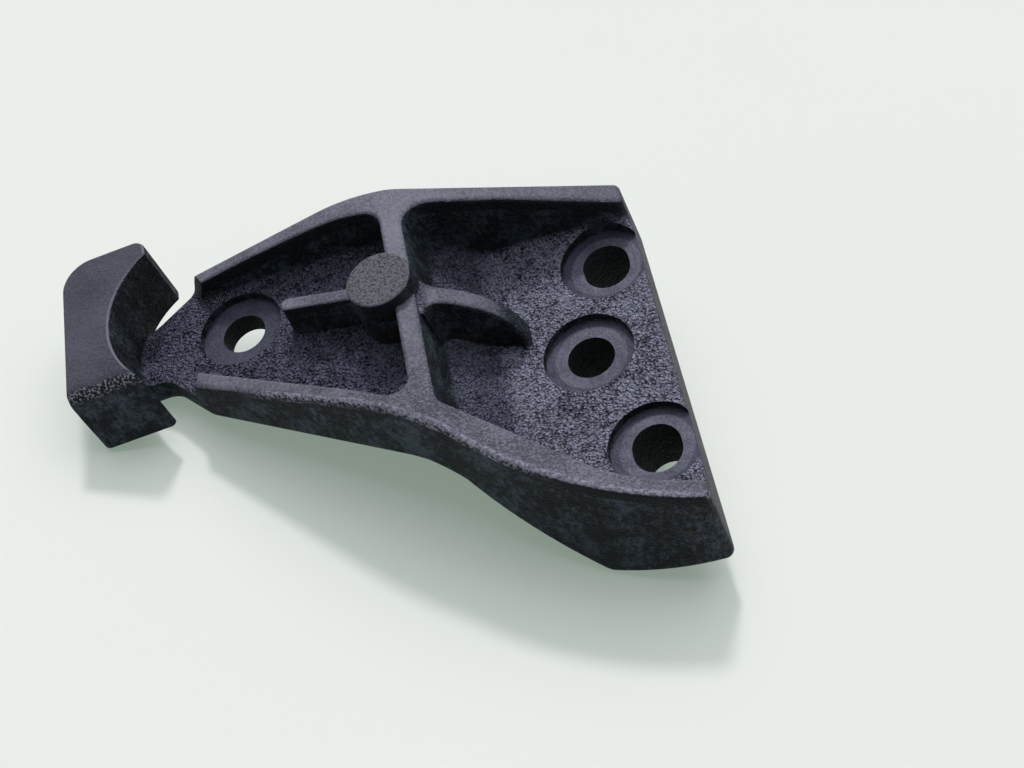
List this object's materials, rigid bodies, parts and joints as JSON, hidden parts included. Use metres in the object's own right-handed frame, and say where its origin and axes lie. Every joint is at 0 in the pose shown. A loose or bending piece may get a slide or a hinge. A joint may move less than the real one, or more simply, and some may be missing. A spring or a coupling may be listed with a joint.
{
  "type": "engine mounting bracket",
  "caption": "Cast engine mounting bracket: a bolted foot with ribbed recess, a pocketed arm rising from it, and a hollowed upright head on a narrow neck.",
  "frame": {"origin": "axis of the middle foot bolt hole, on the foot's mating face", "axes": "+Z along the bolt axes away from the mating face, +X from the head towards the foot's end, +Y across, towards the foot's far rim"},
  "size_m": [0.1515, 0.1201, 0.06],
  "materials": {
    "bracket_casting": "blackened rough casting with smoother rim tops and machined bolt seats"
  },
  "bodies": {
    "root": {"bracket_casting": "bracket_casting"}
  },
  "joints": []
}
